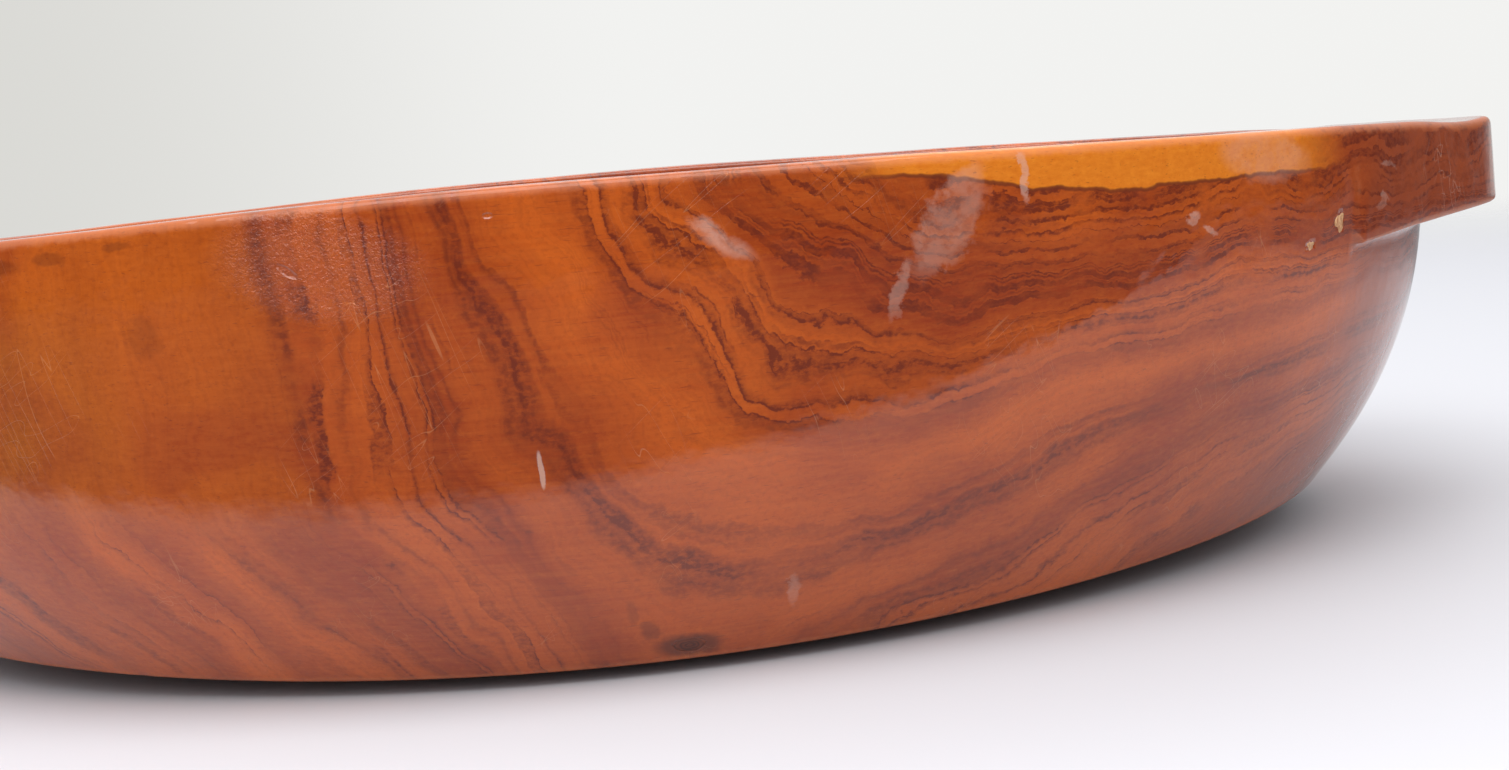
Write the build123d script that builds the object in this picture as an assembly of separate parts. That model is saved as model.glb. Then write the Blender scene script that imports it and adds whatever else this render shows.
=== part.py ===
"""A long oval bowl with a ledge handle at each end, all carved from one block of hardwood.

Millimetres, +Z up. X runs along the bowl, Y across it, and the origin is on the floor under its middle.
The block holds two inclusions, each a solid of its own in a pocket that it fills: a dark branch knot
at the base edge, and two small pale fills at the root of one handle.
"""

from build123d import *
from math import copysign, cos, pi, sin
import os

# ---- driving dimensions ------------------------------------------------------------------------

BODY_LENGTH = 530.0        # over the oval wall, without the handles
BODY_WIDTH = 330.0
RIM_HEIGHT = 128.0         # at the middle of each long side
RIM_DROP = 6.0             # how much lower the rim lies at the two ends

FLOOR_SHARE = 0.83         # the wall's outline at floor level, as a share of its outline at the rim
UPRIGHT_ABOVE = 120.0      # the wall stands upright above this height and flares in below it
FLARE_POWER = 2.7          # how quickly the flare dies out on the way up
RIM_FULLNESS = 2.1         # exponent of the oval at the rim: 2 is an ellipse, more is fuller
FLOOR_FULLNESS = 1.85      # the same at floor level, a little more pointed

REST_LENGTH = 260.0        # the flat oval that the bowl rests on
REST_WIDTH = 224.0
UNDERSIDE_SLOPE = 0.128    # rise per mm of the underside, from the flat oval out to the base edge
BASE_EDGE_ROUND = 1.5

END_WALL = 21.0            # wall thickness at the ends, where the grain is short
SIDE_WALL = 14.0           # wall thickness at the long sides
FLOOR_THICKNESS = 17.0
HOLLOW_POWER = 4.5         # how squarely the hollow turns from wall to floor

HANDLE_REACH = 12.5        # how far the end of a handle stands out past the end of the wall
RIGHT_ROOT_ALONG = 208.0   # how far along the bowl the sides of the +X handle leave the wall
LEFT_ROOT_ALONG = 227.0    # the same for the -X handle, which was cut a little narrower by eye
HANDLE_ROOT_STEP = 2.0     # how far they stand proud of the wall there, which makes the crease
HANDLE_TIP_HALF = 56.0     # half width at the end, before its corners are rounded
HANDLE_ROOT_DEPTH = 30.0   # rim to underside, at the root
HANDLE_TIP_DEPTH = 24.5    # rim to underside, at the end
HANDLE_LEAN = 2.0          # the end face leans: its top stands this much further in than its foot
HANDLE_CORNER_ROUND = 14.0

RIM_OUTER_ROUND = 3.5
RIM_INNER_ROUND = 3.0

KNOT_ALONG = 12.0          # the knot's middle, along the bowl from its centre
KNOT_HEIGHT = 7.8
KNOT_HALF_LENGTH = 4.4     # the branch is cut slantwise, so its face is an oval
KNOT_HALF_HEIGHT = 2.3
KNOT_DEPTH = 12.0

FILL_SPOTS = (             # along the bowl, height, radius
    (200.0, 98.0, 2.3),
    (188.5, 93.0, 1.4),
)
FILL_DEPTH = 5.0

# ---- worked out --------------------------------------------------------------------------------

HALF_LENGTH = BODY_LENGTH / 2
HALF_WIDTH = BODY_WIDTH / 2
OVERALL_HALF = HALF_LENGTH + HANDLE_REACH
END_HEIGHT = RIM_HEIGHT - RIM_DROP
TRIM = 12.0                # how far raw shapes run past the faces that trim them
OUTLINE_POINTS = 32        # points of one oval outline, joined by a smooth closed curve
WALL_HEIGHTS = (0.0, 12.0, 28.0, 48.0, 76.0, 104.0, RIM_HEIGHT + TRIM)
HOLLOW_DEPTHS = (0.0, 0.3, 0.55, 0.75, 0.88, 0.95, 0.985)    # as shares of the raw hollow's depth


# ---- the oval wall -----------------------------------------------------------------------------

def oval_point(half_length, half_width, fullness, turn):
    along = copysign(abs(cos(turn)) ** (2 / fullness), cos(turn))
    across = copysign(abs(sin(turn)) ** (2 / fullness), sin(turn))
    return half_length * along, half_width * across


def oval(half_length, half_width, fullness, height):
    """A flat oval face at a height: an ellipse, or fuller or more pointed than one."""
    turns = [2 * pi * step / OUTLINE_POINTS for step in range(OUTLINE_POINTS)]
    points = [(*oval_point(half_length, half_width, fullness, turn), height) for turn in turns]
    return Face(Wire([Spline(points, periodic=True)]))


def flare(height):
    """1 at floor level, falling to 0 where the wall stands upright."""
    return max(0.0, 1 - height / UPRIGHT_ABOVE) ** FLARE_POWER


def wall_share(height):
    return 1 - (1 - FLOOR_SHARE) * flare(height)


def wall_fullness(height):
    return RIM_FULLNESS + (FLOOR_FULLNESS - RIM_FULLNESS) * flare(height)


def wall_section(height):
    share = wall_share(height)
    return oval(HALF_LENGTH * share, HALF_WIDTH * share, wall_fullness(height), height)


def front_of_wall(along, height):
    """The distance from the long centre line out to the wall, at a place along the bowl."""
    share, fullness = wall_share(height), wall_fullness(height)
    left_over = 1 - (abs(along) / (HALF_LENGTH * share)) ** fullness
    return HALF_WIDTH * share * left_over ** (1 / fullness)


def above_underside():
    """Everything above the underside: the flat oval, and the gentle slope rising all round it."""
    rise = 2 * TRIM
    spread = rise / UNDERSIDE_SLOPE
    rest = oval(REST_LENGTH / 2, REST_WIDTH / 2, 2, 0)
    edge = oval(REST_LENGTH / 2 + spread, REST_WIDTH / 2 + spread, 2, rise)
    upper = extrude(Rectangle(2 * BODY_LENGTH, 2 * BODY_WIDTH), amount=RIM_HEIGHT)
    return loft([rest, edge], ruled=True) + Pos(0, 0, rise) * upper


def solid_oval():
    """The oval before it is hollowed, with its base edge rounded."""
    raw = loft([wall_section(height) for height in WALL_HEIGHTS]) & above_underside()
    under = raw.faces().filter_by(lambda face: face.normal_at().Z < -0.9)
    return fillet(border_of(raw, under), BASE_EDGE_ROUND)


def border_of(shape, faces):
    """The edges that bound exactly one of the faces, so they run round them as a group."""
    return [edge for edge in shape.edges() if sum(edge in face.edges() for face in faces) == 1]


# ---- handles, rim and hollow -------------------------------------------------------------------

def handle(root_along):
    """A ledge at the +X end: its plan narrows to the end, and its underside climbs towards it."""
    top = RIM_HEIGHT + TRIM
    root_under = END_HEIGHT - HANDLE_ROOT_DEPTH
    end_under = END_HEIGHT - HANDLE_TIP_DEPTH
    top_end = OVERALL_HALF - HANDLE_LEAN / HANDLE_TIP_DEPTH * (top - end_under)
    root_half = front_of_wall(root_along, top) + HANDLE_ROOT_STEP
    inner, inner_half = root_along - SIDE_WALL, root_half - SIDE_WALL
    plan = Polyline(
        (inner, -inner_half), (root_along, -root_half), (OVERALL_HALF, -HANDLE_TIP_HALF),
        (OVERALL_HALF, HANDLE_TIP_HALF), (root_along, root_half), (inner, inner_half), close=True,
    )
    side = Polyline(
        (inner, root_under), (root_along, root_under), (OVERALL_HALF, end_under),
        (top_end, top), (inner, top), close=True,
    )
    block = extrude(make_face(plan), amount=top)
    ledge = block & extrude(Plane.XZ * make_face(side), amount=BODY_WIDTH, both=True)
    near_end = ledge.edges().filter_by(lambda edge: edge.center().X > top_end - 1)
    corners = near_end.filter_by(lambda edge: abs(edge.tangent_at(0.5).Z) > 0.8)
    return fillet(corners, HANDLE_CORNER_ROUND)


def below_rim():
    """Everything under the rim surface, which sags in one smooth curve towards both ends."""
    reach = OVERALL_HALF + TRIM
    level = ((1, 0), (1, 0))
    rim_line = Spline((-reach, END_HEIGHT), (0, RIM_HEIGHT), (reach, END_HEIGHT), tangents=level)
    rest = Polyline((reach, END_HEIGHT), (reach, -TRIM), (-reach, -TRIM), (-reach, END_HEIGHT))
    return extrude(Plane.XZ * make_face([rim_line, rest]), amount=BODY_WIDTH, both=True)


def hollow_section(depth):
    """The hollow at a share of its depth: full width at the top, rounding in towards the floor."""
    share = (1 - depth**HOLLOW_POWER) ** (1 / HOLLOW_POWER)
    top = RIM_HEIGHT + TRIM
    height = top - depth * (top - FLOOR_THICKNESS)
    half_length = (HALF_LENGTH - END_WALL) * share
    half_width = (HALF_WIDTH - SIDE_WALL) * share
    return oval(half_length, half_width, RIM_FULLNESS, height)


def top_border(shape):
    """The edges round the top surface, once a shape has been cut to the rim."""
    tops = shape.faces().filter_by(lambda face: face.normal_at().Z > 0.9)
    return border_of(shape, tops.filter_by(lambda face: face.center().Z > END_HEIGHT / 2))


def cut_and_ease(shape):
    """Cut a shape to the rim surface and round over the edge that this leaves."""
    cut = shape & below_rim()
    return fillet(top_border(cut), RIM_OUTER_ROUND)


def is_inside_rim(edge):
    """True where an edge lies nearer the hollow than the middle of the wall's thickness."""
    middle = edge.position_at(0.5)
    along = abs(middle.X) / (HALF_LENGTH - END_WALL / 2)
    across = abs(middle.Y) / (HALF_WIDTH - SIDE_WALL / 2)
    return along**RIM_FULLNESS + across**RIM_FULLNESS < 1


def carved_block():
    """The whole block: the oval and both handles, cut to the rim, hollowed and eased inside."""
    right = cut_and_ease(handle(RIGHT_ROOT_ALONG))
    left = mirror(cut_and_ease(handle(LEFT_ROOT_ALONG)), Plane.YZ)
    block = cut_and_ease(solid_oval()) + right + left
    block = block - loft([hollow_section(depth) for depth in HOLLOW_DEPTHS])
    return fillet([edge for edge in top_border(block) if is_inside_rim(edge)], RIM_INNER_ROUND)


# ---- inclusions --------------------------------------------------------------------------------

def wall_plane(along, height):
    """A plane on the outside of the front wall, facing straight out of it."""
    step = 0.5
    here = Vector(along, -front_of_wall(along, height), height)
    beside = Vector(along + step, -front_of_wall(along + step, height), height)
    above = Vector(along, -front_of_wall(along, height + step), height + step)
    outward = (beside - here).cross(above - here)
    return Plane(origin=here, x_dir=beside - here, z_dir=outward)


def peg(outline, along, height, depth):
    """A raw peg through the front wall's surface: from proud of it to a depth below it."""
    proud = 3.0
    place = wall_plane(along, height).offset(-depth)
    return extrude(place * outline, amount=depth + proud)


def knot_peg():
    outline = Ellipse(KNOT_HALF_LENGTH, KNOT_HALF_HEIGHT)
    return peg(outline, KNOT_ALONG, KNOT_HEIGHT, KNOT_DEPTH)


def fill_pegs():
    return [peg(Circle(radius), along, height, FILL_DEPTH) for along, height, radius in FILL_SPOTS]


block = carved_block()
knot = block & knot_peg()
fills = [block & raw for raw in fill_pegs()]
bowl = block - knot_peg()
for raw in fill_pegs():
    bowl = bowl - raw

os.makedirs("parts", exist_ok=True)
parts = {
    "bowl": bowl,
    "base_edge_knot": knot,
    "crack_fill": Compound(children=[piece for fill in fills for piece in fill.solids()]),
}
for name, shape in parts.items():
    size = shape.bounding_box().size
    print(name, "solids", len(shape.solids()), "volume", round(shape.volume, 1), "size", size)
    export_step(shape, f"parts/{name}.step")
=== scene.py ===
# %% [markdown]
# A long oval bowl with a ledge handle at each end, carved from one block of streaky hardwood and
# finished with a glossy clear coat. This lesson makes the block as one mesh that follows a rule,
# sets a branch knot and two pale fills into it, and then spends most of its effort on the wood.
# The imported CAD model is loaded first, because every piece must lie where its solids lie.

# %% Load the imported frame
import math
import bmesh
import bpy
from mathutils import Matrix, Vector


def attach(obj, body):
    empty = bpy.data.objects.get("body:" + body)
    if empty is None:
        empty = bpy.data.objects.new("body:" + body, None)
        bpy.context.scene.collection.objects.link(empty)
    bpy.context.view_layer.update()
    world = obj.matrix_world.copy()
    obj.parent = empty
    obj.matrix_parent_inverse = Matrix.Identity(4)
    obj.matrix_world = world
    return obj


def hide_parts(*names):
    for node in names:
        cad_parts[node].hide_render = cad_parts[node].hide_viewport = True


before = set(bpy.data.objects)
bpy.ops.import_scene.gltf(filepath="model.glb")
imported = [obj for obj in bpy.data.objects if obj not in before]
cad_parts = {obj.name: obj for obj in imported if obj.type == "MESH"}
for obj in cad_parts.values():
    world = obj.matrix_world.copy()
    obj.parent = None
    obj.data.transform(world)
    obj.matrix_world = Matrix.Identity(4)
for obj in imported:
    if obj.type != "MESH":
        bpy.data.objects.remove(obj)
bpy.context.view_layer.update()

MM = 0.001

# %% [markdown]
# Both the shape and the finish are worked out with sums on fields: numbers that vary over a surface.
# Blender writes such a sum as a chain of Math nodes. The small class below writes that chain from an
# ordinary Python sum, so that the formulas can be read. It serves shape trees and shader trees alike.

# %% A field that turns sums into nodes
def feed(tree, socket, value):
    """Give a socket a field, a plain number, a colour or a vector."""
    if isinstance(value, Field):
        tree.links.new(value.socket, socket)
    else:
        socket.default_value = value


class Field:
    """One output socket of a tree, which can be used in Python sums."""

    def __init__(self, tree, socket):
        self.tree = tree
        self.socket = socket

    def math(self, operation, *others):
        node = self.tree.nodes.new("ShaderNodeMath")
        node.operation = operation
        for place, value in enumerate((self, *others)):
            feed(self.tree, node.inputs[place], value)
        return Field(self.tree, node.outputs[0])

    def reversed_math(self, operation, other):
        node = self.tree.nodes.new("ShaderNodeMath")
        node.operation = operation
        feed(self.tree, node.inputs[0], other)
        feed(self.tree, node.inputs[1], self)
        return Field(self.tree, node.outputs[0])


def give_operator(symbol, operation):
    """Let a sign such as + write a Math node, whichever side of it the field stands on."""
    def forward(self, other):
        return self.math(operation, other)

    def backward(self, other):
        return self.reversed_math(operation, other)

    setattr(Field, f"__{symbol}__", forward)
    setattr(Field, f"__r{symbol}__", backward)


for symbol, operation in (
    ("add", "ADD"), ("sub", "SUBTRACT"), ("mul", "MULTIPLY"), ("truediv", "DIVIDE"), ("pow", "POWER"),
):
    give_operator(symbol, operation)


def size_of(value):
    return value.math("ABSOLUTE")


def root_of(value):
    return value.math("SQRT")


def smaller(value, other):
    return value.math("MINIMUM", other)


def larger(value, other):
    return value.math("MAXIMUM", other)


def ramp(value, start, end, smooth=True):
    """0 before start, 1 after end, and a smooth climb between them."""
    node = value.tree.nodes.new("ShaderNodeMapRange")
    node.interpolation_type = "SMOOTHSTEP" if smooth else "LINEAR"
    for name, amount in (("Value", value), ("From Min", start), ("From Max", end)):
        feed(value.tree, node.inputs[name], amount)
    return Field(value.tree, node.outputs["Result"])


def join(tree, x, y, z):
    node = tree.nodes.new("ShaderNodeCombineXYZ")
    for place, value in enumerate((x, y, z)):
        feed(tree, node.inputs[place], value)
    return Field(tree, node.outputs[0])


def split(vector):
    node = vector.tree.nodes.new("ShaderNodeSeparateXYZ")
    feed(vector.tree, node.inputs[0], vector)
    return [Field(vector.tree, output) for output in node.outputs]


def noise(tree, place, scale, detail=2.0, roughness=0.5):
    """Cloudy noise round 0.5, in three dimensions for a vector and in one for a plain field."""
    node = tree.nodes.new("ShaderNodeTexNoise")
    single = place.socket.type == "VALUE"
    node.noise_dimensions = "1D" if single else "3D"
    feed(tree, node.inputs["W" if single else "Vector"], place)
    node.inputs["Scale"].default_value = scale
    node.inputs["Detail"].default_value = detail
    node.inputs["Roughness"].default_value = roughness
    return Field(tree, node.outputs[0])


print("fields ready")

# %% [markdown]
# **The block.** A carver works such a bowl from one thick plank: the outside first, then the hollow.
# Every vertical cut through its middle has the same kind of outline, which starts at the centre of
# the base, runs out under the bowl, turns up the wall, steps out under a handle where there is one,
# rolls over the rim and comes down the hollow to the middle of its floor. So the block is a grid:
# one column for each direction from the centre, and one row for each step along that outline. The
# grid is bent into shape by a Geometry Nodes tree with the block's sizes as named inputs. A lathe
# or a subdivided cage could give the oval, but not the handles and the sagging rim so exactly.

# %% Sizes of the block, in millimetres
COLUMNS = 600
WALL_SIZES = {
    "Half length": 265.0, "Half width": 165.0, "Rim height": 128.0, "Rim drop": 6.0,
    "Floor share": 0.83, "Upright above": 120.0, "Flare power": 2.7,
    "Rim fullness": 2.1, "Floor fullness": 1.85,
    "Rest half length": 130.0, "Rest half width": 112.0, "Underside slope": 0.128,
    "End wall": 21.0, "Side wall": 14.0, "Floor height": 18.5, "Hollow power": 4.5,
    "Handle end": 277.5, "Handle tip half": 56.0, "Handle lean": 2.0, "Root step": 2.0,
    "Root under": 91.2, "End under": 96.4, "Right root": 208.0, "Left root": 227.0,
    "Outer round": 3.5, "Inner round": 3.0, "Carving depth": 0.7,
}
HALF_SPAN = 290.0           # where the sagging rim line would turn level again, past the handles
RAW_TOP = 140.0             # the hollow's rule starts this high, above the rim

# where the sides of each handle leave the wall: along, across, and which end of the bowl
HANDLE_ROOTS = ((208.0, 108.5, 1), (227.0, 91.6, -1))

# the stretches of the outline, each with its first and last row of the grid
STRETCHES = {}
row = 0
for name, steps in (
    ("rest", 4), ("underside", 8), ("base edge", 4), ("wall", 52), ("handle crook", 3),
    ("handle under", 7), ("handle foot", 4), ("face", 10), ("outer round", 6), ("rim", 9),
    ("inner round", 5), ("hollow", 47),
):
    STRETCHES[name] = (row, row + steps)
    row += steps
ROWS = row + 1

# the rows between which a mark on the surface fades in or out
CREASE_STARTS = (70.0, 76.0)
CREASE_ENDS = (97.0, 88.0)
INSIDE_STARTS = (106.0, 113.0)
SHADED_UNDERSIDE_ENDS = (14.0, 11.0)
CARVING_STARTS = (12.0, 18.0)
print("grid of", COLUMNS, "columns and", ROWS, "rows:", 2 * COLUMNS * (ROWS - 1), "triangles")

# %% Outline rules
def superoval(cosine, sine, half_length, half_width, fullness):
    """How far an oval's outline lies from its middle, in one direction."""
    along = (size_of(cosine) / half_length) ** fullness
    across = (size_of(sine) / half_width) ** fullness
    return (along + across) ** (-1.0 / fullness)


def bend(start, corner, end, step):
    """A rounded corner: start and end are points on its two sides, as (distance out, height)."""
    left = 1.0 - step
    weights = (left * left, 2.0 * step * left, step * step)
    return [
        weights[0] * start[axis] + weights[1] * corner[axis] + weights[2] * end[axis]
        for axis in (0, 1)
    ]


def run(start, end, step):
    """A straight stretch between two points, as (distance out, height)."""
    return [start[axis] + (end[axis] - start[axis]) * step for axis in (0, 1)]


def toward(start, end, distance):
    """The point a set distance from start on the way to end."""
    out, up = end[0] - start[0], end[1] - start[1]
    share = distance / larger(root_of(out * out + up * up), 0.01)
    return [start[0] + out * share, start[1] + up * share]


def turn_of(column):
    """The direction of a column; columns are drawn together where the handles leave the wall."""
    pull, spread = 0.75, 0.06
    turn = column * (2 * math.pi / COLUMNS)
    for root_along, root_across, side in HANDLE_ROOTS:
        for hand in (1, -1):
            apart = turn - math.atan2(hand * root_across, side * root_along)
            leaning = apart.math("SINE").math("ARCTAN2", 1.0 + spread - apart.math("COSINE"))
            turn = turn - leaning * (pull * spread)
    return turn


def hollow_path(size, step, hollow_rim, hollow_start):
    """Even steps down the hollow's wall and in across its floor, as (distance out, height)."""
    start, first_depth = 0.13, 0.1525
    swing = start + (1.0 - start) * step
    power = size["Hollow power"] / 2.0
    down_part = swing ** power
    in_part = (1.0 - swing) ** power
    angle = down_part / (down_part + in_part) * (math.pi / 2)
    depth = angle.math("SINE") ** (1.0 / power)
    share = larger(angle.math("COSINE"), 0.0) ** (1.0 / power)
    hollow_height = RAW_TOP - depth * (RAW_TOP - size["Floor height"])
    left = 1.0 - step
    first_height = RAW_TOP - first_depth * (RAW_TOP - size["Floor height"])
    ease = (hollow_start[1] - first_height) * left ** 6.0
    return [hollow_rim * share, hollow_height + ease]


print("outline rules ready")


# %% Marks and tool cuts on the shaped grid
def hump(row_number, first, last, rise):
    """1 in the middle of a stretch of rows, falling to 0 past its ends."""
    middle, half = (first + last) / 2, (last - first) / 2
    away = size_of(row_number - middle)
    return ramp(away, half + rise, half * 0.3)


def surface_marks(row_number, own_turn, root_turn, on_handle):
    """What the finish needs to know: the rubbed edges with their painted glints, the inside, the
    underside for its painted shade, and the row.
    """
    # rim rounds, base edge, handle foot and the crease ridge: partly rubbed, partly a painted highlight
    wear_and_glint = hump(row_number, *STRETCHES["outer round"], 1.0)
    wear_and_glint = larger(wear_and_glint, hump(row_number, *STRETCHES["inner round"], 1.0) * 0.6)
    wear_and_glint = larger(wear_and_glint, hump(row_number, *STRETCHES["base edge"], 0.4))
    wear_and_glint = larger(wear_and_glint, hump(row_number, *STRETCHES["handle foot"], 1.0) * on_handle)
    crease = ramp(size_of(own_turn - root_turn), 0.006, 0.0)
    crease = crease * ramp(row_number, *CREASE_STARTS) * ramp(row_number, *CREASE_ENDS)
    return {
        "edge_wear_and_glint": larger(wear_and_glint, crease),
        "inside": ramp(row_number, *INSIDE_STARTS),
        # the rows under the bowl, which the finish darkens as painted shade
        "shaded_underside": ramp(row_number, *SHADED_UNDERSIDE_ENDS),
        "row_number": row_number,
    }


def store_values(tree, geometry, values):
    """Store named numbers on every point, for the finish to read."""
    for name, value in values.items():
        store = tree.nodes.new("GeometryNodeStoreNamedAttribute")
        store.data_type = "FLOAT"
        store.domain = "POINT"
        tree.links.new(geometry, store.inputs["Geometry"])
        store.inputs["Name"].default_value = name
        feed(tree, store.inputs["Value"], value)
        geometry = store.outputs["Geometry"]
    return geometry


def stored_value(tree, name):
    node = tree.nodes.new("GeometryNodeInputNamedAttribute")
    node.data_type = "FLOAT"
    node.inputs["Name"].default_value = name
    return Field(tree, node.outputs["Attribute"])


def carve_by_hand(tree, geometry, depth):
    """The carver's hand: slow waves, and the shallow cuts of the gouge inside."""
    spot = Field(tree, tree.nodes.new("GeometryNodeInputPosition").outputs[0])
    inner_side = stored_value(tree, "inside")
    own_row = stored_value(tree, "row_number")
    waves = noise(tree, spot, 11.0, 1.0)
    ripples = noise(tree, spot, 42.0, 0.5)
    cuts = tree.nodes.new("ShaderNodeTexVoronoi")
    cuts.feature = "SMOOTH_F1"
    cuts.inputs["Scale"].default_value = 34.0
    cuts.inputs["Smoothness"].default_value = 0.6
    tree.links.new(spot.socket, cuts.inputs["Vector"])
    scoops = Field(tree, cuts.outputs["Distance"])
    free = ramp(own_row, *CARVING_STARTS)
    sink = ramp(waves, 0.25, 0.75, smooth=False) + ripples * 0.22 + inner_side * (0.9 - scoops) * 0.45
    sink = sink * free * depth * (-MM)
    facing_out = Field(tree, tree.nodes.new("GeometryNodeInputNormal").outputs[0])
    push = tree.nodes.new("ShaderNodeVectorMath")
    push.operation = "SCALE"
    tree.links.new(facing_out.socket, push.inputs[0])
    tree.links.new(sink.socket, push.inputs["Scale"])
    carved = tree.nodes.new("GeometryNodeSetPosition")
    tree.links.new(geometry, carved.inputs["Geometry"])
    tree.links.new(push.outputs[0], carved.inputs["Offset"])
    return carved.outputs["Geometry"]


print("tool cuts ready")


# %% The shape tree
def block_tree():
    """The block as one Geometry Nodes tree, with its sizes as named inputs."""
    tree = bpy.data.node_groups.new("carved_block_shape", "GeometryNodeTree")
    tree.interface.new_socket("Geometry", in_out="OUTPUT", socket_type="NodeSocketGeometry")
    for name, value in WALL_SIZES.items():
        socket = tree.interface.new_socket(name, in_out="INPUT", socket_type="NodeSocketFloat")
        socket.default_value = value
    tree.interface.new_socket("Wood", in_out="INPUT", socket_type="NodeSocketMaterial")
    inlet = tree.nodes.new("NodeGroupInput")
    size = {name: Field(tree, inlet.outputs[name]) for name in WALL_SIZES}

    grid = tree.nodes.new("GeometryNodeMeshGrid")
    grid.inputs["Vertices X"].default_value = COLUMNS + 1
    grid.inputs["Vertices Y"].default_value = ROWS
    index = Field(tree, tree.nodes.new("GeometryNodeInputIndex").outputs[0])
    column = (index / float(ROWS) + 0.0005).math("FLOOR")
    row_number = index - column * float(ROWS)

    def step_of(stretch):
        first, last = STRETCHES[stretch]
        return ramp(row_number, float(first), float(last), smooth=False)

    turn = turn_of(column)
    cosine = turn.math("COSINE")
    sine = turn.math("SINE")

    def wall_out(height):
        """How far out the oval wall is at a height."""
        flare = larger(1.0 - height / size["Upright above"], 0.0) ** size["Flare power"]
        share = 1.0 - (1.0 - size["Floor share"]) * flare
        fullness = size["Rim fullness"] + (size["Floor fullness"] - size["Rim fullness"]) * flare
        return share * superoval(cosine, sine, size["Half length"], size["Half width"], fullness)

    def rim_at(out):
        """Height of the sagging rim, which the tip of a handle leaves with a slight flick."""
        along = out * cosine
        sag = (along * (math.pi / (2 * HALF_SPAN))).math("SINE")
        swell = ramp(along, 95.0, 175.0) * 1.1
        flick = swell + ramp(along, 260.0, 277.0) * 1.3 - ramp(along, 232.0, 256.0) * 1.2
        return size["Rim height"] - size["Rim drop"] * sag * sag + flick

    # where the underside meets the wall: two rounds of trial bring it close enough
    rest_out = superoval(cosine, sine, size["Rest half length"], size["Rest half width"], 2.0)
    edge_height = (wall_out(cosine * 0.0 + 6.0) - rest_out) * size["Underside slope"]
    edge_height = (wall_out(edge_height) - rest_out) * size["Underside slope"]
    edge = [wall_out(edge_height), edge_height]

    # the handles, seen from above: two slanting sides and a straight end
    right = cosine.math("GREATER_THAN", 0.0)
    root_along = size["Left root"] + (size["Right root"] - size["Left root"]) * right
    root_share = (root_along / size["Half length"]) ** size["Rim fullness"]
    wall_half = size["Half width"] * (1.0 - root_share) ** (1.0 / size["Rim fullness"])
    root_half = wall_half + size["Root step"]
    side_run = size["Handle end"] - root_along
    side_drop = root_half - size["Handle tip half"]
    side_long = root_of(side_run * side_run + side_drop * side_drop)
    side_reach = (side_drop * root_along + side_run * root_half) / side_long
    facing = (side_drop * size_of(cosine) + side_run * size_of(sine)) / side_long
    root_turn = root_half.math("ARCTAN2", root_along)
    own_turn = size_of(sine).math("ARCTAN2", size_of(cosine))
    on_handle = ramp(own_turn, root_turn + 0.004, root_turn - 0.001)

    def handle_out(height):
        """How far out the handle is; its root step is sharp below and melts away at the rim."""
        melt = ramp(height, 96.0, 119.0)
        present = ramp(own_turn, root_turn + 0.004 + melt * 0.035, root_turn - 0.001 - melt * 0.05)
        lean = size["Handle lean"] * larger(height - size["End under"], 0.0) / 24.5
        end_out = (size["Handle end"] - lean) / larger(size_of(cosine), 0.2)
        handle = (side_reach / facing).math("SMOOTH_MIN", end_out, 13.0)
        wall = wall_out(height)
        return wall + (larger(handle, wall) - wall) * present

    def under_at(out):
        """Height of a handle's underside, which climbs towards its end."""
        share = (out * size_of(cosine) - root_along) / side_run
        return size["Root under"] + (size["End under"] - size["Root under"]) * share

    hidden = (1.0 - on_handle) * 3.0
    crook_height = under_at(wall_out(cosine * 0.0 + 95.0)) * on_handle
    crook_height = crook_height + (1.0 - on_handle) * 92.0 - hidden
    crook = [wall_out(crook_height), crook_height]
    foot_height = under_at(handle_out(cosine * 0.0 + 97.0)) * on_handle
    foot_height = foot_height + (1.0 - on_handle) * 92.0 + hidden
    foot = [handle_out(foot_height), foot_height]
    stand = root_of((foot[0] - crook[0]) ** 2.0 + (foot[1] - crook[1]) ** 2.0)
    fillet = smaller(stand * 0.42, 2.3)

    # rim, hollow and the points where one stretch hands over to the next
    rim_out = handle_out(cosine * 0.0 + 120.0)
    rim_height = rim_at(rim_out)
    outer = [handle_out(rim_height), rim_height]
    hollow_rim = superoval(
        cosine, sine, size["Half length"] - size["End wall"], size["Half width"] - size["Side wall"],
        size["Rim fullness"],
    )
    inner = [hollow_rim, rim_at(hollow_rim)]

    wall_start = [wall_out(edge_height + 1.8), edge_height + 1.8]
    wall_end_height = crook_height - fillet
    crook_start = [wall_out(wall_end_height), wall_end_height]
    crook_end = toward(crook, foot, fillet)
    foot_start = toward(foot, crook, fillet)
    foot_end_height = foot_height + fillet
    foot_end = [handle_out(foot_end_height), foot_end_height]
    face_end_height = rim_height - size["Outer round"]
    face_end = [handle_out(face_end_height), face_end_height]
    rim_start_out = outer[0] - size["Outer round"]
    rim_start = [rim_start_out, rim_at(rim_start_out)]
    rim_end_out = inner[0] + size["Inner round"]
    rim_end = [rim_end_out, rim_at(rim_end_out)]
    hollow_start = [inner[0], inner[1] - size["Inner round"]]

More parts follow.
